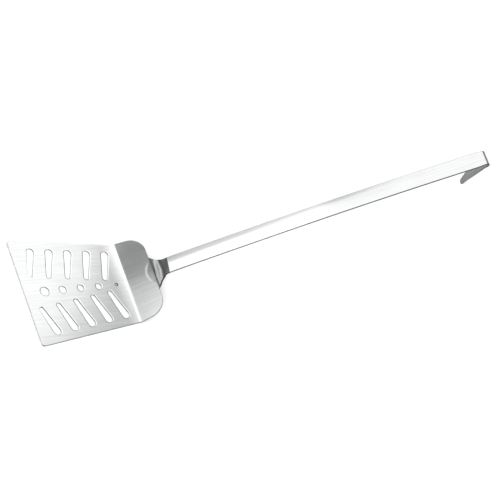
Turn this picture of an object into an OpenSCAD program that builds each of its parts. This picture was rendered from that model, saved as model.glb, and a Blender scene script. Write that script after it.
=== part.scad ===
// Grill spatula: perforated blade with a raised shoulder, welded strip handle, folded hanging hook.
// +X runs from the blade to the hook, +Z up, the blade's underside lies on z = 0.

/* [Blade] */
// length of the flat, front edge to heel crease
blade_len = 120; // [80:1:160]
// width across the front edge
front_w = 122; // [80:1:160]
// width at the heel
heel_w = 91; // [60:1:130]
// sheet thickness of the blade
blade_t = 1.5; // [1:0.1:3]
// radius of the two front corners
front_r = 4; // [1:0.5:12]

/* [Perforation] */
// number of hole and slot stations along the blade
stations = 5; // [3:1:6]
// first station, measured from the front edge
first_x = 24; // [18:0.5:30]
// pitch of the stations
pitch = 21; // [16:0.5:24]
// diameter of the centre hole nearest the front
hole_front_d = 10; // [6:0.1:12]
// diameter of the fourth centre hole
hole_back_d = 6.8; // [4:0.1:10]
// diameter of the small last hole by the heel
hole_last_d = 2.6; // [2:0.1:6]
// radius of a slot's wide outer end
slot_r_out = 4.2; // [2:0.1:5]
// radius of a slot's narrow inner end
slot_r_in = 2.6; // [1.5:0.1:4]
// solid margin between a slot and the side edge
slot_margin = 8.3; // [5:0.1:14]
// length of a slot, end to end
slot_len = 34.3; // [20:0.1:40]
// slant of the slots back toward the handle, from the cross direction
slot_slant = 19.2; // [0:0.1:30]

/* [Shoulder] */
// slope of the shoulder
shoulder_a = 42; // [20:1:60]
// slope length, heel crease to back edge
shoulder_len = 29.8; // [15:0.1:45]
// radius of the two back corners
shoulder_r = 16.5; // [4:0.5:25]
// inside radius of the heel bend
heel_bend_r = 4.5; // [1.5:0.1:8]

/* [Handle] */
// strip thickness of the handle
strip_t = 2.5; // [1.5:0.1:4]
// width of the long grip
grip_w = 16.6; // [12:0.1:24]
// length of the grip along its arch
grip_len = 348; // [200:1:420]
// slope of the grip where it leaves the neck
grip_a = 33.6; // [15:0.1:45]
// fall of that slope over the whole grip, the shallow arch
arch_a = 5.1; // [1:0.1:12]
// width of the foot lapped under the shoulder
foot_w = 36; // [20:0.5:40]
// length of the lap
foot_len = 21; // [10:0.5:26]
// slope of the neck wall
wall_a = 75; // [50:1:85]
// straight height of the neck wall along its slope
wall_len = 6.9; // [3:0.1:20]
// radius of the neck's side fillets
flare_r = 20; // [20:1:60]

/* [Hook] */
// outside radius of the fold
fold_r = 5; // [4:0.1:10]
// turn of the fold, down and back under the grip
fold_turn = 124.5; // [100:0.5:170]
// length of the straight tongue
tongue_len = 33; // [15:0.5:60]
// length of the tip beyond its slight outward set
tip_len = 11; // [5:0.5:20]
// outward set of the tip
tip_set = 8; // [1:0.5:25]
// width of the tongue at the tip
tip_w = 5.6; // [4:0.1:12]

/* [Weld] */
// leg of the fillet beads
weld_leg = 2.2; // [1:0.1:4]
// length of each side bead
weld_side_len = 14; // [6:0.5:20]

/* [Hidden] */
$fn = 96;
steel = [0.80, 0.81, 0.82];
bead = [0.66, 0.66, 0.67];
ref_x = first_x + pitch * 1.5;          // origin: solid web between the second and third holes
taper = (front_w - heel_w) / 2 / blade_len;
bend_back = heel_bend_r * tan(shoulder_a / 2);
flat_end = blade_len - bend_back;        // where the flat runs into the heel bend
slab_len = shoulder_len - bend_back;
sx = cos(shoulder_a);
sz = sin(shoulder_a);
low_r = 4;                               // bend from the lap up into the wall, face radius
high_r = 6;                              // bend from the wall over into the grip, face radius
neck_run = 21.3;                         // straight stretch between the high bend and the arched grip
turn_low = wall_a - shoulder_a;
turn_high = wall_a - grip_a;
end_run = 8;                             // stretch that narrows before the fold
fold_w = 15.6;                           // strip width at the fold
flare_x = 17;                            // where the side fillets meet the grip's width

// Points along an arc, from angle a to angle b.
function arc(x, y, r, a, b, n) =
    [for (i = [0 : n]) let (t = a + (b - a) * i / n) [x + r * cos(t), y + r * sin(t)]];
function mirrored(pts) = [for (i = [len(pts) - 1 : -1 : 0]) [pts[i][0], -pts[i][1]]];

// Plan figure of a round-ended slot, its narrow end's centre at the origin.
module slot_figure() {
    span = slot_len - slot_r_out - slot_r_in;
    lean = asin((slot_r_out - slot_r_in) / span);
    polygon(concat(
        arc(0, 0, slot_r_in, 90 + lean, 270 - lean, 16),
        arc(span, 0, slot_r_out, -90 - lean, 90 + lean, 24)
    ));
}

// One slot on the +Y side, its outer end a fixed margin inside the tapered edge.
module slot_at(k) {
    tip_x = first_x + k * pitch;
    tip_y = front_w / 2 - taper * tip_x - slot_margin;
    translate([tip_x, tip_y])
        rotate(90 - slot_slant)
            translate([-slot_len + slot_r_in, 0])
                slot_figure();
}

function hole_d(k) = k == stations - 1 ? hole_last_d
    : hole_front_d - (hole_front_d - hole_back_d) * sqrt(k / (stations - 2));

module flat_outline() {
    y_front = front_w / 2;
    y_end = heel_w / 2;
    a = atan((y_front - y_end) / flat_end);
    cy = y_front - front_r * (1 + sin(a)) / cos(a);
    side = concat(arc(front_r, cy, front_r, 180, 90 - a, 10), [[flat_end, y_end]]);
    polygon(concat(side, mirrored(side)));
}

// A sheet's upper face in side view, walked from one end to the other.
// A stretch is [arc length, turn, steps]; a state is [x, z, heading].
function advance(p, ds, dh) =
    [p[0] + ds * cos(p[2] + dh / 2), p[1] + ds * sin(p[2] + dh / 2), p[2] + dh];
function chord(stretch) =
    stretch[1] == 0 ? stretch[0] / stretch[2]
    : 2 * (stretch[0] * 180 / PI / abs(stretch[1])) * sin(abs(stretch[1]) / stretch[2] / 2);
function walk(p, stretch, k = 0) =
    k >= stretch[2] ? [p]
    : concat([p], walk(advance(p, chord(stretch), stretch[1] / stretch[2]), stretch, k + 1));
function turned(r, turn, steps) = [r * abs(turn) * PI / 180, turn, steps];
function end_of(path) = path[len(path) - 1];
function under(p, t) = [p[0] + t * sin(p[2]), p[1] - t * cos(p[2])];
function joined(paths) = [for (path = paths) for (i = [0 : len(path) - 2]) path[i]];
function whole(paths) = concat(joined(paths), [end_of(paths[len(paths) - 1])]);

// Sheet of thickness t with the side view of `paths`, w wide.
module band(paths, w, t) {
    pts = whole(paths);
    n = len(pts);
    translate([0, w / 2, 0])
        rotate([90, 0, 0])
            linear_extrude(w)
                polygon(concat(
                    [for (p = pts) [p[0], p[1]]],
                    [for (i = [n - 1 : -1 : 0]) under(pts[i], t)]
                ));
}

heel_path = walk([flat_end, blade_t, 0], turned(heel_bend_r, shoulder_a, 10));
shoulder_path = walk(end_of(heel_path), [slab_len, 0, 1]);
// lower corner of the shoulder's back edge, where the neck leaves the lap
back_x = end_of(shoulder_path)[0] + blade_t * sz;
back_z = end_of(shoulder_path)[1] - blade_t * sx;

// The two round back corners, seen square to the shoulder.
module shoulder_trim() {
    r = shoulder_r;
    h = heel_w / 2;
    side = concat(
        [[-12, h + 5], [slab_len - r, h + 5]],
        arc(slab_len - r, h - r, r, 90, 0, 18),
        [[slab_len + 4, h - r], [slab_len + 4, 0]]
    );
    translate([end_of(heel_path)[0], 0, end_of(heel_path)[1]])
        rotate([0, -shoulder_a, 0])
            translate([0, 0, -10])
                linear_extrude(20)
                    polygon(concat(side, mirrored(side)));
}

module blade_sheet() {
    linear_extrude(blade_t)
        difference() {
            flat_outline();
            for (k = [0 : stations - 1]) {
                translate([first_x + k * pitch, 0]) circle(d = hole_d(k));
                slot_at(k);
                mirror([0, 1]) slot_at(k);
            }
        }
    intersection() {
        band([heel_path, shoulder_path], heel_w, blade_t);
        shoulder_trim();
    }
}

// The handle strip's upper face, from the foot's hidden end to the hook's tip.
foot_path = walk([back_x - foot_len * sx, back_z - foot_len * sz, shoulder_a], [foot_len, 0, 1]);
low_path = walk(end_of(foot_path), turned(low_r, turn_low, 8));
wall_path = walk(end_of(low_path), [wall_len, 0, 1]);
high_path = walk(end_of(wall_path), turned(high_r, -turn_high, 12));
neck_path = walk(end_of(high_path), [neck_run, 0, 1]);
grip_path = walk(end_of(neck_path), [grip_len - neck_run - end_run, -arch_a, 14]);
end_path = walk(end_of(grip_path), [end_run, 0, 1]);
fold_path = walk(end_of(end_path), turned(fold_r, -fold_turn, 30));
tongue_path = walk(end_of(fold_path), [tongue_len, 0, 1]);
set_path = walk(end_of(tongue_path), turned(12, tip_set, 3));
tip_path = walk(end_of(set_path), [tip_len, 0, 1]);
// Everything between the two side fillets, seen square to the neck wall.
module flare_trim() {
    translate([back_x, 0, back_z])
        rotate([0, -62, 0])
            translate([0, 0, -40])
                linear_extrude(80)
                    difference() {
                        translate([-40, -foot_w / 2 - 1]) square([120, foot_w + 2]);
                        for (s = [-1, 1]) {
                            translate([flare_x, s * (grip_w / 2 + flare_r)]) circle(r = flare_r);
                            translate([flare_x + 50, s * (grip_w / 2 + 10)])
                                square([100, 20], center = true);
                            translate([-foot_len, s * foot_w / 2])
                                rotate(45) square(8, center = true);
                        }
                    }
}

// The end of the grip narrows a little before it folds.
module end_trim() {
    p = end_path[0];
    translate([p[0], 0, p[1]])
        rotate([0, -p[2], 0])
            translate([0, 0, -20])
                linear_extrude(40)
                    polygon([
                        [-1, -grip_w / 2], [0, -grip_w / 2], [end_run, -fold_w / 2],
                        [end_run + 1, -fold_w / 2], [end_run + 1, fold_w / 2],
                        [end_run, fold_w / 2], [0, grip_w / 2], [-1, grip_w / 2]
                    ]);
}

// The tongue tapers to a round tip, seen along the object's length.
module tongue_trim() {
    top = end_of(fold_path)[1];
    low = end_of(tip_path)[1];
    r = tip_w / 2;
    lean = atan((fold_w / 2 - r) / (top - low - r));
    translate([end_of(fold_path)[0] - 40, 0, 0])
        rotate([90, 0, 90])
            linear_extrude(80) {
                polygon([
                    [-fold_w / 2, top + 5], [fold_w / 2, top + 5], [fold_w / 2, top],
                    [r * cos(lean), low + r - r * sin(lean)],
                    [-r * cos(lean), low + r - r * sin(lean)], [-fold_w / 2, top]
                ]);
                translate([0, low + r]) circle(r = r);
            }
}

module handle_strip() {
    intersection() {
        band([foot_path, low_path, wall_path, high_path, neck_path], foot_w, strip_t);
        flare_trim();
    }
    band([grip_path], grip_w, strip_t);
    intersection() {
        band([end_path], grip_w, strip_t);
        end_trim();
    }
    band([fold_path], fold_w, strip_t);
    intersection() {
        band([tongue_path, set_path, tip_path], fold_w, strip_t);
        tongue_trim();
    }
}

// Frame of the lap: x up the shoulder's slope, z square to it, origin at the neck's start.
module lap_frame() {
    translate([back_x, 0, back_z]) rotate([0, -shoulder_a, 0]) children();
}

// A fillet bead in the corner between the shoulder's underside and an edge of the lap.
module bead_bar(len) {
    rotate([90, 0, 0])
        translate([0, 0, -len / 2])
            linear_extrude(len)
                polygon([[0, 0], [-weld_leg, 0], [-weld_leg * 0.42, -weld_leg * 0.42], [0, -weld_leg]]);
}

module weld_end_bead() {
    lap_frame() translate([-foot_len, 0, 0]) bead_bar(foot_w - 13);
}

module weld_side_bead(s) {
    lap_frame()
        translate([-foot_len + 5.5 + weld_side_len / 2, s * foot_w / 2, 0])
            rotate([0, 0, s > 0 ? -90 : 90])
                bead_bar(weld_side_len);
}

module place() {
    translate([-ref_x, 0, 0]) children();
}

module blade() { color(steel) place() blade_sheet(); }
module handle() { color(steel) place() handle_strip(); }
module weld_lap_end() { color(bead) place() weld_end_bead(); }
module weld_left() { color(bead) place() weld_side_bead(1); }
module weld_right() { color(bead) place() weld_side_bead(-1); }

blade();
handle();
weld_lap_end();
weld_left();
weld_right();
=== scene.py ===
from math import cos, pi, radians, sin, sqrt, tan

import bmesh
import bpy
from mathutils import Matrix, Vector


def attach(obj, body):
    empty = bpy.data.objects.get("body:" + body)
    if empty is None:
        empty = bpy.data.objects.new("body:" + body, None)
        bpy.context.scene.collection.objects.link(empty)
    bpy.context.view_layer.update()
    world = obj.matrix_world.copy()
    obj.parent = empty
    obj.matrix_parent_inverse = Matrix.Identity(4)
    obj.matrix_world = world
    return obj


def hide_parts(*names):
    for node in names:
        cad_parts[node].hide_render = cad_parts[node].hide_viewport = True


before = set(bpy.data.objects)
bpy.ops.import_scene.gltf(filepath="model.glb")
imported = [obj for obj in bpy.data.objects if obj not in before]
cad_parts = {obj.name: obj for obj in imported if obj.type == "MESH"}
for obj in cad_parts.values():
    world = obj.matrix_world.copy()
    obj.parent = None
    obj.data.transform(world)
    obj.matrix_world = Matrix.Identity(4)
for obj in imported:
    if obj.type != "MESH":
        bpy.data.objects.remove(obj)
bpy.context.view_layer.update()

# ---------------------------------------------------------------------------------------------
# The blade. One pressing of 1.5 mm satin stainless sheet: blanked, pierced with round holes and
# tapered slots, then folded up at the heel into a broad shoulder with two round corners. A shallow
# lens is coined into the shoulder's back edge, where the handle's foot is welded on from behind.
MM = 0.001
REF_X = 55.5 * MM
SHEET = 1.5 * MM
BLADE_LEN = 120 * MM
FRONT_W = 122 * MM
HEEL_W = 91 * MM
FRONT_R = 4 * MM
SHOULDER_SLOPE = radians(42)
SHOULDER_LEN = 29.8 * MM
SHOULDER_R = 16.5 * MM
HEEL_R = 4.5 * MM
# each centre hole: distance behind the front edge, diameter
HOLES = [
    (24 * MM, 10 * MM),
    (45 * MM, 8.15 * MM),
    (66 * MM, 7.39 * MM),
    (87 * MM, 6.8 * MM),
    (108 * MM, 2.6 * MM),
]
SLOT_OUT_R = 4.2 * MM
SLOT_IN_R = 2.6 * MM
SLOT_LEN = 34.3 * MM
SLOT_SLANT = radians(19.2)
SLOT_MARGIN = 8.3 * MM
# the coined lens: half its width, its reach down from the back edge, its depth
COIN_HALF = 14.6 * MM
COIN_REACH = 7.2 * MM
COIN_DEPTH = 0.15 * MM
# the shoulder's sag at its sides, its narrowing toward the back edge, and how far its sides lean
SHOULDER_CROWN = 0.9 * MM
SHOULDER_TAPER = 0.07
BOW_SLOPE = 0.040
# where the flat begins to rise toward the fold, and how steep it gets
EARLY_START = 104 * MM
EARLY_SLOPE = radians(4.2)
# the rounded rim that the punch leaves, and the flat border kept beside it
DIE_ROLL_W = 0.7 * MM
FLAT_BORDER_W = 0.35 * MM
DIE_ROLL_DEPTH = 0.18 * MM

FLAT_END = BLADE_LEN - HEEL_R * tan(SHOULDER_SLOPE / 2)
BEND_LEN = HEEL_R * SHOULDER_SLOPE
SLAB_LEN = SHOULDER_LEN - HEEL_R * tan(SHOULDER_SLOPE / 2)
FOLD_AT = FLAT_END + 0.6 * MM
BLANK_LEN = FLAT_END + BEND_LEN + SLAB_LEN
TAPER = (FRONT_W - HEEL_W) / 2 / BLADE_LEN


def smooth(t):
    t = min(max(t, 0.0), 1.0)
    return t * t * (3 - 2 * t)


def fill_between(bm, loops):
    """Fills the flat region bounded by the loops of edges, leaving the inner loops open."""
    bmesh.ops.triangle_fill(bm, edges=[e for loop in loops for e in loop], use_beauty=True, use_dissolve=False)


def ring_of_edges(verts):
    return list({e for v in verts for e in v.link_edges})


def round_hole(bm, x, d):
    made = bmesh.ops.create_circle(bm, segments=56, radius=d / 2, matrix=Matrix.Translation((x, 0, 0)))
    return ring_of_edges(made["verts"])


def slot(bm, tip_x, side):
    """A round-ended slot, wide outward; its outer end keeps the margin from the tapered edge."""
    tip_y = FRONT_W / 2 - TAPER * tip_x - SLOT_MARGIN
    made = bmesh.ops.create_circle(bm, segments=56, radius=1)
    span = SLOT_LEN - SLOT_OUT_R - SLOT_IN_R
    turn = pi / 2 - SLOT_SLANT
    for v in made["verts"]:
        along = v.co.x * SLOT_OUT_R + span if v.co.x > 0 else v.co.x * SLOT_IN_R
        across = v.co.y * (SLOT_OUT_R if v.co.x > 0 else SLOT_IN_R)
        along += SLOT_IN_R - SLOT_LEN
        v.co = (
            tip_x + along * cos(turn) - across * sin(turn),
            side * (tip_y + along * sin(turn) + across * cos(turn)),
            0,
        )
    return ring_of_edges(made["verts"])


def new_piece(name, bm, node):
    bmesh.ops.recalc_face_normals(bm, faces=bm.faces)
    mesh = bpy.data.meshes.new(name)
    bm.to_mesh(mesh)
    bm.free()
    piece = bpy.data.objects.new(name, mesh)
    bpy.context.collection.objects.link(piece)
    for face in mesh.polygons:
        face.use_smooth = True
    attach(piece, "root")
    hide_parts(node)
    return piece


def cut_across(bm, axis, stations, where):
    """Cuts the flat faces chosen by `where` along lines square to the axis."""
    for at in stations:
        faces = [f for f in bm.faces if where(f.calc_center_median())]
        geom = faces + list({e for f in faces for e in f.edges}) + list({v for f in faces for v in f.verts})
        co = (at, 0, 0) if axis == 0 else (0, at, 0)
        no = (1, 0, 0) if axis == 0 else (0, 1, 0)
        bmesh.ops.bisect_plane(bm, geom=geom, dist=1e-7, plane_co=co, plane_no=no)


blank = bmesh.new()
half_front = FRONT_W / 2
half_heel = HEEL_W / 2
outline = [
    blank.verts.new(co)
    for co in (
        (0, half_front, 0),
        (0, -half_front, 0),
        (FLAT_END, -half_heel, 0),
        (BLANK_LEN, -half_heel, 0),
        (BLANK_LEN, half_heel, 0),
        (FLAT_END, half_heel, 0),
    )
]
blank.faces.new(outline)
blank.verts.ensure_lookup_table()


def round_corner(bm, corners, r, segments):
    bmesh.ops.bevel(
        bm,
        geom=corners,
        offset=r,
        offset_type="OFFSET",
        affect="VERTICES",
        segments=segments,
        profile=0.5,
        material=-1,
    )


round_corner(blank, [outline[3], outline[4]], SHOULDER_R, 20)
round_corner(blank, [v for v in blank.verts if v.co.x < 1e-6], FRONT_R, 10)
# Parts the shoulder from the flat, so that only the flat is filled round its holes.
everything = blank.faces[:] + blank.edges[:] + blank.verts[:]
bmesh.ops.bisect_plane(blank, geom=everything, dist=1e-7, plane_co=(FLAT_END, 0, 0), plane_no=(1, 0, 0))
shoulder_face = max(blank.faces, key=lambda f: f.calc_center_median().x)
flat_face = min(blank.faces, key=lambda f: f.calc_center_median().x)
flat_edges = list(flat_face.edges)
bmesh.ops.delete(blank, geom=[flat_face], context="FACES_ONLY")
loops = [flat_edges]
for x, d in HOLES:
    loops.append(round_hole(blank, x, d))
for x, _ in HOLES:
    for side in (1, -1):
        loops.append(slot(blank, x, side))
fill_between(blank, loops)
# Two narrow strips round every opening: one for the die roll, and one that keeps the flat flat.
for width in (DIE_ROLL_W + FLAT_BORDER_W, DIE_ROLL_W):
    bmesh.ops.inset_region(
        blank, faces=blank.faces[:], use_boundary=True, use_even_offset=True, thickness=width, depth=0
    )

# Lines to bend along: over the early rise, round the fold, up the shoulder, and across it.
RISE_CUTS, FOLD_CUTS, SLAB_CUTS, WIDTH_CUTS = 14, 12, 34, 64


def near_heel(c):
    return c.x > EARLY_START - 30 * MM


def past_flat(c):
    return c.x > FLAT_END - 1e-6


rise_lines = [EARLY_START + (FLAT_END - EARLY_START) * k / RISE_CUTS for k in range(RISE_CUTS)]
fold_lines = [FLAT_END + BEND_LEN * k / FOLD_CUTS for k in range(1, FOLD_CUTS + 1)]
fold_lines += [FLAT_END + BEND_LEN + SLAB_LEN * k / SLAB_CUTS for k in range(1, SLAB_CUTS)]
cut_across(blank, 0, rise_lines, near_heel)
cut_across(blank, 0, fold_lines, past_flat)
cut_across(blank, 1, [HEEL_W * (k / WIDTH_CUTS - 0.5) for k in range(1, WIDTH_CUTS)], past_flat)

# The developed pattern, in metres, drives the grain, so the brushing runs on through the bends.
pattern = blank.loops.layers.uv.new("pattern")
for face in blank.faces:
    for loop in face.loops:
        loop[pattern].uv = (loop.vert.co.x, loop.vert.co.y)


def coined(u, y):
    """Height of the coined lens over the shoulder's plane: a quick dip, then a slow rise."""
    if abs(y) >= COIN_HALF:
        return 0.0
    bow = 1 - (y / COIN_HALF) ** 2
    start = BLANK_LEN - COIN_REACH * bow
    t = (u - start) / max(BLANK_LEN - start, 1e-6)
    if u <= start - 0.9 * MM:
        return 0.0
    dip = smooth((u - start + 0.9 * MM) / (1.8 * MM))
    return -COIN_DEPTH * min(1.0, 1.6 * bow) * dip * (1 - min(max(t, 0.0), 1.0) ** 1.3)


def heading_at(u):
    """Slope of the folded sheet. It starts to rise just before the fold, then turns quickly."""
    if u < EARLY_START:
        return 0.0
    if u < FOLD_AT:
        return EARLY_SLOPE * ((u - EARLY_START) / (FOLD_AT - EARLY_START)) ** 1.7
    return min(EARLY_SLOPE + (u - FOLD_AT) / HEEL_R, SHOULDER_SLOPE)


# The folded sheet's upper face in side view, walked in quarter-millimetre steps.
STEP = 0.25 * MM
side_view = [(EARLY_START, SHEET)]
while EARLY_START + (len(side_view) - 1) * STEP < BLANK_LEN + 1 * MM:
    heading = heading_at(EARLY_START + (len(side_view) - 0.5) * STEP)
    side_view.append((side_view[-1][0] + STEP * cos(heading), side_view[-1][1] + STEP * sin(heading)))


def on_blade(u, y):
    """Folds a point of the blank."""
    if u <= EARLY_START:
        return Vector((u - REF_X, y, SHEET))
    k = int((u - EARLY_START) / STEP)
    part = (u - EARLY_START) / STEP - k
    x = side_view[k][0] * (1 - part) + side_view[k + 1][0] * part
    z = side_view[k][1] * (1 - part) + side_view[k + 1][1] * part
    past_fold = max(u - FLAT_END - BEND_LEN, 0.0) / SLAB_LEN
    lift = coined(u, y) - SHOULDER_CROWN * (y / half_heel) ** 2 * past_fold
    turn = heading_at(u)
    return Vector((x - lift * sin(turn) - REF_X, y * (1 - SHOULDER_TAPER * past_fold), z + lift * cos(turn)))


def inside_outline(co):
    return 15 * MM < co.x < FLAT_END - 2 * MM and abs(co.y) < half_front - TAPER * co.x - 5 * MM


# The punch draws the sheet down a little all round each hole and slot.
rolled = [v for v in blank.verts if v.is_boundary and inside_outline(v.co)]
for v in blank.verts:
    v.co = on_blade(v.co.x, v.co.y)
for v in rolled:
    v.co.z -= DIE_ROLL_DEPTH
blade = new_piece("blade_pressing", blank, "blade")


def thicken(piece, gauge, edge_r):
    """Gives the skin its gauge below the upper face, and breaks every edge. A face's underside
    takes the material one slot after its own, and its cut edge the one two slots after. The
    broken edges take the cut edge's dark colour: painted shade that draws the outlines."""
    if sum(f.normal.z for f in piece.data.polygons) < 0:
        piece.data.flip_normals()
    wall = piece.modifiers.new("gauge", "SOLIDIFY")
    wall.thickness = gauge
    wall.offset = -1
    wall.use_even_offset = True
    wall.material_offset = 1
    wall.material_offset_rim = 2
    edge = piece.modifiers.new("broken_edges", "BEVEL")
    edge.width = edge_r
    edge.segments = 3
    edge.limit_method = "ANGLE"
    edge.angle_limit = radians(50)
    edge.use_clamp_overlap = False
    edge.harden_normals = True
    # painted shade: the broken edges get the dark cut-edge colour instead of their highlight
    edge.material = 2


thicken(blade, SHEET, 0.12 * MM)


def linear(hex_code):
    """sRGB hex to linear RGBA."""
    parts = [int(hex_code[i : i + 2], 16) / 255 for i in (1, 3, 5)]
    return [c / 12.92 if c <= 0.04045 else ((c + 0.055) / 1.055) ** 2.4 for c in parts] + [1.0]


def add(material, kind, inputs=None, **settings):
    """Adds a node, sets its properties, and links or sets its inputs."""
    tree = material.node_tree
    node = tree.nodes.new(kind)
    for key, value in settings.items():
        setattr(node, key, value)
    for key, value in (inputs or {}).items():
        if isinstance(value, bpy.types.NodeSocket):
            tree.links.new(value, node.inputs[key])
        else:
            node.inputs[key].default_value = value
    return node


def brushed(name, colour, shade, base_rough, streaks, painted_shade_between=None, bow=None):
    """Stainless 18/10 finished with a fine belt along its length. Fine scratches stretch each
    highlight across the grain, over a faint cloudiness left by the polishing.
    `painted_shade_between` is a stretch painted a darker grey, which is painted shade, and made rougher.
    `bow` leans the surface to its two sides: where that starts, over what length, how steeply,
    how far across, where it has faded out, and the least lean allowed on the right side."""
    material = bpy.data.materials.new(name)
    material.use_nodes = True
    material.node_tree.nodes.clear()
    where = add(material, "ShaderNodeUVMap", uv_map="pattern")
    # belt scratches about 0.15 mm apart and some 40 mm long, drawn 0.35 mm apart so that they show
    fine_map = add(material, "ShaderNodeMapping", {"Vector": where.outputs[0], "Scale": (28, 2900, 1)})
    fine = add(
        material,
        "ShaderNodeTexNoise",
        {"Vector": fine_map.outputs[0], "Scale": 1.0, "Detail": 3.0, "Roughness": 0.6},
    )
    # broader bands of the same belt, 2 to 3 mm apart
    wide_map = add(material, "ShaderNodeMapping", {"Vector": where.outputs[0], "Scale": (9, 400, 1)})
    wide = add(
        material,
        "ShaderNodeTexNoise",
        {"Vector": wide_map.outputs[0], "Scale": 1.0, "Detail": 2.0, "Roughness": 0.5},
    )
    # cloudiness 20 to 40 mm across
    cloud = add(
        material,
        "ShaderNodeTexNoise",
        {"Vector": where.outputs[0], "Scale": 36.0, "Detail": 3.0, "Roughness": 0.55},
    )
    both = add(material, "ShaderNodeMath", {0: wide.outputs[0], 1: 0.6, 2: fine.outputs[0]}, operation="MULTIPLY_ADD")
    spread = add(material, "ShaderNodeMapRange", {"Value": both.outputs[0], "From Min": 0.55, "From Max": 1.05})
    tone = add(material, "ShaderNodeMix", {"Factor": spread.outputs[0]}, data_type="RGBA")
    tone.inputs[6].default_value = linear(shade)
    tone.inputs[7].default_value = linear(colour)
    finish = tone.outputs[2]
    rough = add(
        material,
        "ShaderNodeMapRange",
        {
            "Value": cloud.outputs[0],
            "From Min": 0.3,
            "From Max": 0.7,
            "To Min": base_rough - 0.025,
            "To Max": base_rough + 0.025,
        },
    )
    rough = add(
        material,
        "ShaderNodeMath",
        {0: fine.outputs[0], 1: 0.06, 2: rough.outputs[0]},
        operation="MULTIPLY_ADD",
    )
    if painted_shade_between or bow:
        run = add(material, "ShaderNodeSeparateXYZ", {0: where.outputs[0]})
    if painted_shade_between:
        start, end = painted_shade_between
        skewed = add(
            material,
            "ShaderNodeMath",
            {0: run.outputs[1], 1: -CREASE_SKEW, 2: run.outputs[0]},
            operation="MULTIPLY_ADD",
        )
        before_end = add(
            material,
            "ShaderNodeMapRange",
            {
                "Value": skewed.outputs[0],
                "From Min": end - 0.35 * MM,
                "From Max": end + 0.35 * MM,
                "To Min": 1.0,
                "To Max": 0.0,
            },
            interpolation_type="SMOOTHSTEP",
        )
        after_start = add(
            material,
            "ShaderNodeMapRange",
            {"Value": run.outputs[0], "From Min": start - 1.5 * MM, "From Max": start + 1.5 * MM},
            interpolation_type="SMOOTHSTEP",
        )
        painted_shade_band = add(
            material,
            "ShaderNodeMath",
            {0: before_end.outputs[0], 1: after_start.outputs[0]},
            operation="MULTIPLY",
        )
        # painted shade: the band before the crease is mixed toward a dark grey
        toned = add(material, "ShaderNodeMix", {"Factor": painted_shade_band.outputs[0], 6: finish}, data_type="RGBA")
        toned.inputs[7].default_value = linear("#6f7372")
        finish = toned.outputs[2]
        rough = add(
            material,
            "ShaderNodeMath",
            {0: painted_shade_band.outputs[0], 1: 0.08, 2: rough.outputs[0]},
            operation="MULTIPLY_ADD",
        )
    bump = add(material, "ShaderNodeBump", {"Height": both.outputs[0], "Strength": streaks, "Distance": 0.012 * MM})
    slow = add(
        material,
        "ShaderNodeBump",
        {"Height": cloud.outputs[0], "Strength": 0.4, "Distance": 0.12 * MM, "Normal": bump.outputs[0]},
    )
    facing = slow.outputs[0]
    if bow:
        start, over, slope, reach, fades_by, near_limit = bow
        off_middle = add(material, "ShaderNodeMath", {0: run.outputs[1], 1: reach}, operation="DIVIDE")
        lean = add(material, "ShaderNodeMath", {0: off_middle.outputs[0]}, operation="TANH")
        lean = add(material, "ShaderNodeMath", {0: lean.outputs[0], 1: near_limit}, operation="MAXIMUM")
        grown = add(
            material,
            "ShaderNodeMapRange",
            {"Value": run.outputs[0], "From Min": start, "From Max": start + over, "To Max": slope},
        )
        lean = add(material, "ShaderNodeMath", {0: lean.outputs[0], 1: grown.outputs[0]}, operation="MULTIPLY")
        left = add(
            material,
            "ShaderNodeMapRange",
            {"Value": run.outputs[0], "From Min": start, "From Max": fades_by, "To Min": 1.0, "To Max": 0.0},
        )
        lean = add(material, "ShaderNodeMath", {0: lean.outputs[0], 1: left.outputs[0]}, operation="MULTIPLY")
        lean = add(material, "ShaderNodeCombineXYZ", {"Y": lean.outputs[0]})
        facing = add(material, "ShaderNodeVectorMath", {0: facing, 1: lean.outputs[0]}, operation="ADD")
        facing = add(material, "ShaderNodeVectorMath", {0: facing.outputs[0]}, operation="NORMALIZE").outputs[0]
    steel = add(
        material,
        "ShaderNodeBsdfPrincipled",
        {"Base Color": finish, "Metallic": 1.0, "Roughness": rough.outputs[0], "Normal": facing},
    )
    add(material, "ShaderNodeOutputMaterial", {"Surface": steel.outputs[0]})
    return material


# The mill finish below gives a flat grey with dark lengthwise streaks. Its grey is partly a duller
# finish and partly painted shade for the undersides. Sheared edges are painted dark, partly their
# duller cut and partly painted shade, and draw every outline. The ground leading edge is nearly
# white. The satin face is the palest: it takes long soft reflections, with a sharp light line only
# at the heel.
mill_finish_with_painted_shade = brushed("stainless_mill_finish", "#9b9e9d", "#585b5a", 0.28, 0.6)
# painted shade: the cut edges' grey is set far darker than steel, partly for their duller cut
sheared_edge_with_painted_shade = brushed("stainless_sheared_edge", "#444746", "#313433", 0.34, 0.5)
ground_edge = brushed("stainless_ground_edge", "#d6d8d7", "#c2c4c3", 0.30, 0.4)
sheet_face = brushed(
    "stainless_satin_sheet",
    "#d2d3d2",
    "#c2c4c3",
    0.20,
    0.3,
    bow=(FLAT_END + 1 * MM, 2 * MM, BOW_SLOPE, 12 * MM, 10.0, -1.0),
)
for material in (sheet_face, mill_finish_with_painted_shade, sheared_edge_with_painted_shade, sheet_face, mill_finish_with_painted_shade, ground_edge):
    blade.data.materials.append(material)
# the leading edge is ground bright
for face in blade.data.polygons:
    if face.center.x < 1.2 * MM - REF_X:
        face.material_index = 3
# the faces round the small last hole take the dark cut-edge colour: painted shade, so it reads as a dark dot
small_x, small_d = HOLES[-1]
for face in blade.data.polygons:
    if (face.center - on_blade(small_x, 0)).length < small_d / 2 + DIE_ROLL_W:
        face.material_index = 2

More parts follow.
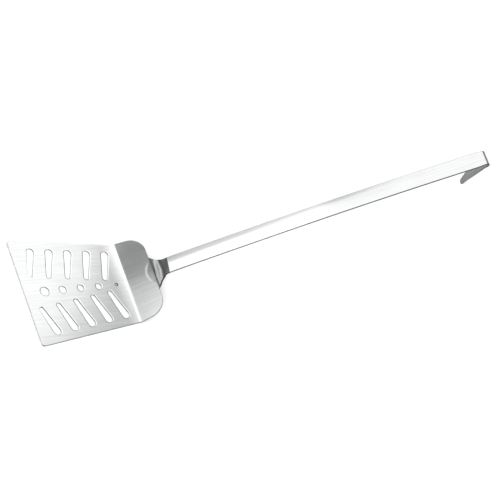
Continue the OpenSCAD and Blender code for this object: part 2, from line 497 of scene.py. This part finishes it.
# ---------------------------------------------------------------------------------------------
# The handle. One 2.5 mm satin stainless strip, bent cold: a foot lapped under the shoulder, a steep
# neck with flared sides, a long shallow-arched grip with a slight crown, and the end folded down
# and back into a tapered tongue that hangs on a rail.
STRIP = 2.5 * MM
FOOT_LEN = 21 * MM
FOOT_W = 36 * MM
GRIP_W = 16.6 * MM
FOLD_W = 15.6 * MM
TIP_W = 5.6 * MM
FLARE_R = 20 * MM
FLARE_END = 17.5 * MM
CROWN = 0.25 * MM
CROWN_SLOPE = 0.46
DIP = 1.5 * MM
CREASE_SKEW = 0.13
# stretches of the strip: length along its upper face, turn in degrees, cuts
LOW_TURN, HIGH_TURN = 33, 41.4
STRETCHES = [
    (21 * MM, 0, 12),
    (4 * MM * radians(LOW_TURN), LOW_TURN, 8),
    (6.9 * MM, 0, 14),
    (6 * MM * radians(HIGH_TURN), -HIGH_TURN, 14),
    (21.3 * MM, 0, 44),
    (318.7 * MM, -5.1, 90),
    (8 * MM, 0, 6),
    (5 * MM * radians(124.5), -124.5, 26),
    (33 * MM, 0, 24),
    (12 * MM * radians(8), 8, 5),
    (11 * MM, 0, 14),
]
back_turn = SHOULDER_SLOPE
NECK_X = FLAT_END + HEEL_R * sin(back_turn) + SLAB_LEN * cos(back_turn) + SHEET * sin(back_turn) - REF_X
NECK_Z = SHEET + HEEL_R * (1 - cos(back_turn)) + SLAB_LEN * sin(back_turn) - SHEET * cos(back_turn)

# Walk the strip's upper face once: at each station its length so far, place and heading.
stations = []
x, z, heading, run = NECK_X - FOOT_LEN * cos(back_turn), NECK_Z - FOOT_LEN * sin(back_turn), back_turn, 0.0
for length, turn, cuts in STRETCHES:
    step_turn = radians(turn) / cuts
    chord = length / cuts if turn == 0 else 2 * length / abs(radians(turn)) * sin(abs(step_turn) / 2)
    for _ in range(cuts):
        stations.append((run, x, z, heading))
        x += chord * cos(heading + step_turn / 2)
        z += chord * sin(heading + step_turn / 2)
        heading += step_turn
        run += length / cuts
stations.append((run, x, z, heading))
FOLD_LAST = sum(s[2] for s in STRETCHES[:8]) + 2
STRIP_LEN = run
WALL_END = sum(s[0] for s in STRETCHES[:3])
HIGH_END = sum(s[0] for s in STRETCHES[:4])
CREASE = HIGH_END + 5.6 * MM
GRIP_END = sum(s[0] for s in STRETCHES[:6])
FOLD_START = sum(s[0] for s in STRETCHES[:7])
FOLD_END = sum(s[0] for s in STRETCHES[:8])


def strip_half_width(run):
    """Half the strip's width at a length along it."""
    past_foot = run - FOOT_LEN
    flare = 0.0
    if past_foot < FLARE_END:
        far = FLARE_END - past_foot
        flare = FLARE_R - sqrt(max(FLARE_R**2 - far**2, 0.0)) if far < FLARE_R else FLARE_R
    wide = min(GRIP_W / 2 + flare, FOOT_W / 2)
    if run > FOLD_START:
        t = (run - FOLD_END) / (STRIP_LEN - FOLD_END)
        return FOLD_W / 2 if t < 0 else FOLD_W / 2 + (TIP_W / 2 - FOLD_W / 2) * t
    if run > GRIP_END:
        return wide + (FOLD_W / 2 - GRIP_W / 2) * (run - GRIP_END) / (FOLD_START - GRIP_END)
    return wide


def crown_at(run):
    """How far the strip's edges are pressed below its middle, along the grip."""
    rise = smooth((run - CREASE + 6 * MM) / (6 * MM))
    fade = max(1 - (run - CREASE) / (285 * MM), 0.0)
    return CROWN * rise * fade * (1 - smooth((run - GRIP_END + 14 * MM) / (20 * MM)))


def dip_at(run, y):
    """How far the neck is pressed below its plain bends: most at the top of the wall, and rising
    to end in a crisp crease, slightly askew, where the grip starts."""
    run -= CREASE_SKEW * y
    if run >= CREASE:
        return 0.0
    lowest = WALL_END + 1.5 * MM
    into = smooth((run - FOOT_LEN - 1.5 * MM) / (lowest - FOOT_LEN - 1.5 * MM))
    out = min((CREASE - run) / (CREASE - lowest), 1.0)
    return DIP * into * out


ACROSS = 16
ribbon = bmesh.new()
bmesh.ops.create_grid(ribbon, x_segments=len(stations) - 1, y_segments=ACROSS, size=1)
pattern = ribbon.loops.layers.uv.new("pattern")
ribbon_place = {}
for v in ribbon.verts:
    k = round((v.co.x + 1) / 2 * (len(stations) - 1))
    # lines crowd toward the edges, so the broken edge has narrow faces beside it
    share = sin(v.co.y * pi / 2 * 0.92) / sin(pi / 2 * 0.92)
    run, x, z, heading = stations[k]
    half = strip_half_width(run)
    y = share * half
    lift = -crown_at(run) * share * share - dip_at(run, y) * (1 - 0.15 * share**2)
    # the foot's hidden end and the tongue's tip are rounded in plan
    pull = 0.0
    if STRIP_LEN - run < 12 * MM:
        near = 1 - (STRIP_LEN - run) / (12 * MM)
        pull = -near * TIP_W / 2 * (1 - sqrt(max(1 - share * share, 0.0)))
    if run < 10 * MM:
        near = 1 - run / (10 * MM)
        pull = near * 5 * MM * max(abs(share) - 0.55, 0.0) ** 2 / 0.45**2
    v.co = (
        x + pull * cos(heading) - lift * sin(heading),
        y,
        z + pull * sin(heading) + lift * cos(heading),
    )
    ribbon_place[v] = (run + pull, y)
for face in ribbon.faces:
    for loop in face.loops:
        loop[pattern].uv = ribbon_place[loop.vert]
handle = new_piece("handle_strip", ribbon, "handle")
thicken(handle, STRIP, 0.3 * MM)
# The grip's satin face keeps a soft grey band along its far side. Before the crease it is
# painted a darker grey, which is painted shade for the dark band at the neck, and it is left rougher.
strip_face = brushed(
    "stainless_satin_strip",
    "#d4d5d4",
    "#c6c8c7",
    0.20,
    0.3,
    painted_shade_between=(WALL_END + 0.6 * MM, CREASE),
    bow=(CREASE, 2 * MM, CROWN_SLOPE, 10 * MM, CREASE + 300 * MM, 0.0),
)
for material in (strip_face, mill_finish_with_painted_shade, sheared_edge_with_painted_shade, strip_face, mill_finish_with_painted_shade, ground_edge):
    handle.data.materials.append(material)
# the tongue's edges are ground bright
for face in handle.data.polygons:
    if face.center.x > stations[-1][1] - 4 * MM and face.center.z < stations[FOLD_LAST][2]:
        face.material_index = 3

# ---------------------------------------------------------------------------------------------
# The welds. Three fillet beads of stainless filler, laid by hand under the shoulder: one across
# the end of the foot and one along each side of the lap, brushed over but still rippled.
BEAD_LEG = 2.2 * MM


def weld_bead(name, node, start, along, inward, length):
    """A rippled quarter-round bead. `start` is its first point in the corner of the lap, `along`
    its run, `inward` the direction from the foot's edge out over the shoulder's underside."""
    down = Vector((sin(back_turn), 0, -cos(back_turn)))
    bead = bmesh.new()
    ripples = int(length / (1.1 * MM))
    count = ripples * 5
    bmesh.ops.create_grid(bead, x_segments=count, y_segments=10, size=1)
    for v in bead.verts:
        t = (v.co.x + 1) / 2
        a = (v.co.y + 1) / 2 * pi / 2
        ends = sqrt(max(1 - (2 * t - 1) ** 10, 0.0))
        wave = 0.90 + 0.10 * abs(sin(t * ripples * pi + 0.5 * sin(a * 2)))
        r = BEAD_LEG * 0.8 * ends * wave + 0.02 * MM
        v.co = start + along * (t * length) + inward * (r * cos(a)) + down * (r * sin(a))
    rim = [e for e in bead.edges if e.is_boundary]
    spine = bmesh.ops.extrude_edge_only(bead, edges=rim)
    for v in [g for g in spine["geom"] if isinstance(g, bmesh.types.BMVert)]:
        t = min(max((v.co - start).dot(along) / length, 0.0), 1.0)
        v.co = start + along * (t * length) + (inward + down) * 0.01 * MM
    bmesh.ops.remove_doubles(bead, verts=bead.verts, dist=0.004 * MM)
    return new_piece(name, bead, node)


lap_dir = Vector((cos(back_turn), 0, sin(back_turn)))
neck_point = Vector((NECK_X, 0, NECK_Z))
foot_end = neck_point - lap_dir * FOOT_LEN
side_start = foot_end + lap_dir * 5.5 * MM
across = Vector((0, 1, 0))
beads = [
    weld_bead("weld_bead_end", "weld_lap_end", foot_end - across * 8.5 * MM, across, -lap_dir, 17 * MM),
    weld_bead("weld_bead_left", "weld_left", side_start + across * FOOT_W / 2, lap_dir, across, 14 * MM),
    weld_bead("weld_bead_right", "weld_right", side_start - across * FOOT_W / 2, lap_dir, -across, 14 * MM),
]

# Fused stainless filler: duller than the sheet, grey with a trace of straw where the heat stayed.
filler = bpy.data.materials.new("brushed_stainless_weld")
filler.use_nodes = True
filler.node_tree.nodes.clear()
spot = add(filler, "ShaderNodeTexCoord")
mottle = add(filler, "ShaderNodeTexNoise", {"Vector": spot.outputs["Object"], "Scale": 900.0, "Detail": 4.0})
heat = add(filler, "ShaderNodeMix", {"Factor": mottle.outputs[0]}, data_type="RGBA")
heat.inputs[6].default_value = linear("#a8a39a")
heat.inputs[7].default_value = linear("#cfcdc9")
grit = add(filler, "ShaderNodeBump", {"Height": mottle.outputs[0], "Strength": 0.4, "Distance": 0.00006})
rough = add(filler, "ShaderNodeMapRange", {"Value": mottle.outputs[0], "To Min": 0.36, "To Max": 0.5})
fused = add(
    filler,
    "ShaderNodeBsdfPrincipled",
    {"Base Color": heat.outputs[2], "Metallic": 1.0, "Roughness": rough.outputs[0], "Normal": grit.outputs[0]},
)
add(filler, "ShaderNodeOutputMaterial", {"Surface": fused.outputs[0]})
for bead in beads:
    bead.data.materials.append(filler)

# ---------------------------------------------------------------------------------------------
# The studio: a plain pale floor, a soft overhead sky that falls off toward the horizon, two soft
# lights, and a long-lens camera.
floor_mesh = bpy.data.meshes.new("floor")
ground = bmesh.new()
bmesh.ops.create_grid(ground, x_segments=1, y_segments=1, size=6)
ground.to_mesh(floor_mesh)
ground.free()
floor = bpy.data.objects.new("floor", floor_mesh)
bpy.context.collection.objects.link(floor)
floor_mesh.transform(Matrix.Translation((0, 0, -0.6 * MM)))
# Matt white paper: burns out to plain white, with a faint shadow where the steel is near.
paper = bpy.data.materials.new("white_paper")
paper.use_nodes = True
paper.node_tree.nodes.clear()
matt = {"Base Color": linear("#ebebeb"), "Roughness": 0.9, "Specular IOR Level": 0.1}
sheen = add(paper, "ShaderNodeBsdfPrincipled", matt)
add(paper, "ShaderNodeOutputMaterial", {"Surface": sheen.outputs[0]})
floor_mesh.materials.append(paper)

# The sky: grey at the horizon, dark a little above it, then quickly white, and a touch greyer
# overhead. It is tilted, so the two sides of a bent sheet mirror different parts of it.
world = bpy.data.worlds.new("studio")
world.use_nodes = True
world.node_tree.nodes.clear()
look = add(world, "ShaderNodeTexCoord")
tilted = {0: look.outputs["Generated"], 1: (-0.12, -0.30, 1)}
lean = add(world, "ShaderNodeVectorMath", tilted, operation="DOT_PRODUCT")
ramp = add(world, "ShaderNodeValToRGB", {"Fac": lean.outputs["Value"]})
ramp.color_ramp.interpolation = "EASE"
points = ramp.color_ramp.elements
points[0].position, points[0].color = 0.467, (0.09, 0.09, 0.092, 1)
points[1].position, points[1].color = 0.755, (0.88, 0.88, 0.88, 1)
for at, level in ((0.0, 0.20), (0.30, 0.09), (1.0, 0.68)):
    points.new(at).color = (level, level, level, 1)
sky = add(world, "ShaderNodeBackground", {"Color": ramp.outputs[0], "Strength": 1.9})
add(world, "ShaderNodeOutputWorld", {"Surface": sky.outputs[0]})
bpy.context.scene.world = world


def soft_light(name, place, aim, size, power):
    lamp = bpy.data.lights.new(name, "AREA")
    lamp.shape = "DISK"
    lamp.size = size
    lamp.energy = power
    holder = bpy.data.objects.new(name, lamp)
    bpy.context.collection.objects.link(holder)
    facing = (Vector(aim) - Vector(place)).to_track_quat("-Z", "Y")
    holder.matrix_world = Matrix.Translation(place) @ facing.to_matrix().to_4x4()


# a small card beside the blade, mirrored in its front half, and a broad fill beside the lens
soft_light("blade_card", (0.055, 0.188, 0.25), (-0.02, 0.0, 0.0), 0.30, 0.19)
soft_light("lens_fill", (-1.6, -1.3, 2.3), (0.1, 0, 0), 1.4, 60)

DISTANCE = 3333 * MM
azimuth, elevation, roll = radians(-54.537), radians(48.52), radians(41.375)
toward = Vector((cos(elevation) * sin(azimuth), -cos(elevation) * cos(azimuth), sin(elevation)))
level = Vector((cos(azimuth), sin(azimuth), 0))
upright = toward.cross(level)
right = level * cos(roll) + upright * sin(roll)
up = upright * cos(roll) - level * sin(roll)
middle = Vector((200 * MM - REF_X, 0, 60 * MM))
place = middle + toward * DISTANCE
target = middle + right * 33.44 * MM - up * 0.77 * MM
back = (place - target).normalized()
side = (right - back * right.dot(back)).normalized()
lens = bpy.data.cameras.new("long_lens")
lens.sensor_width = 36
lens.lens = 234.8
lens.clip_start, lens.clip_end = 0.1, 50
camera = bpy.data.objects.new("camera", lens)
bpy.context.collection.objects.link(camera)
camera.matrix_world = Matrix.Translation(place) @ Matrix((side, back.cross(side), back)).transposed().to_4x4()
bpy.context.scene.camera = camera
bpy.context.scene.view_settings.view_transform = "Standard"
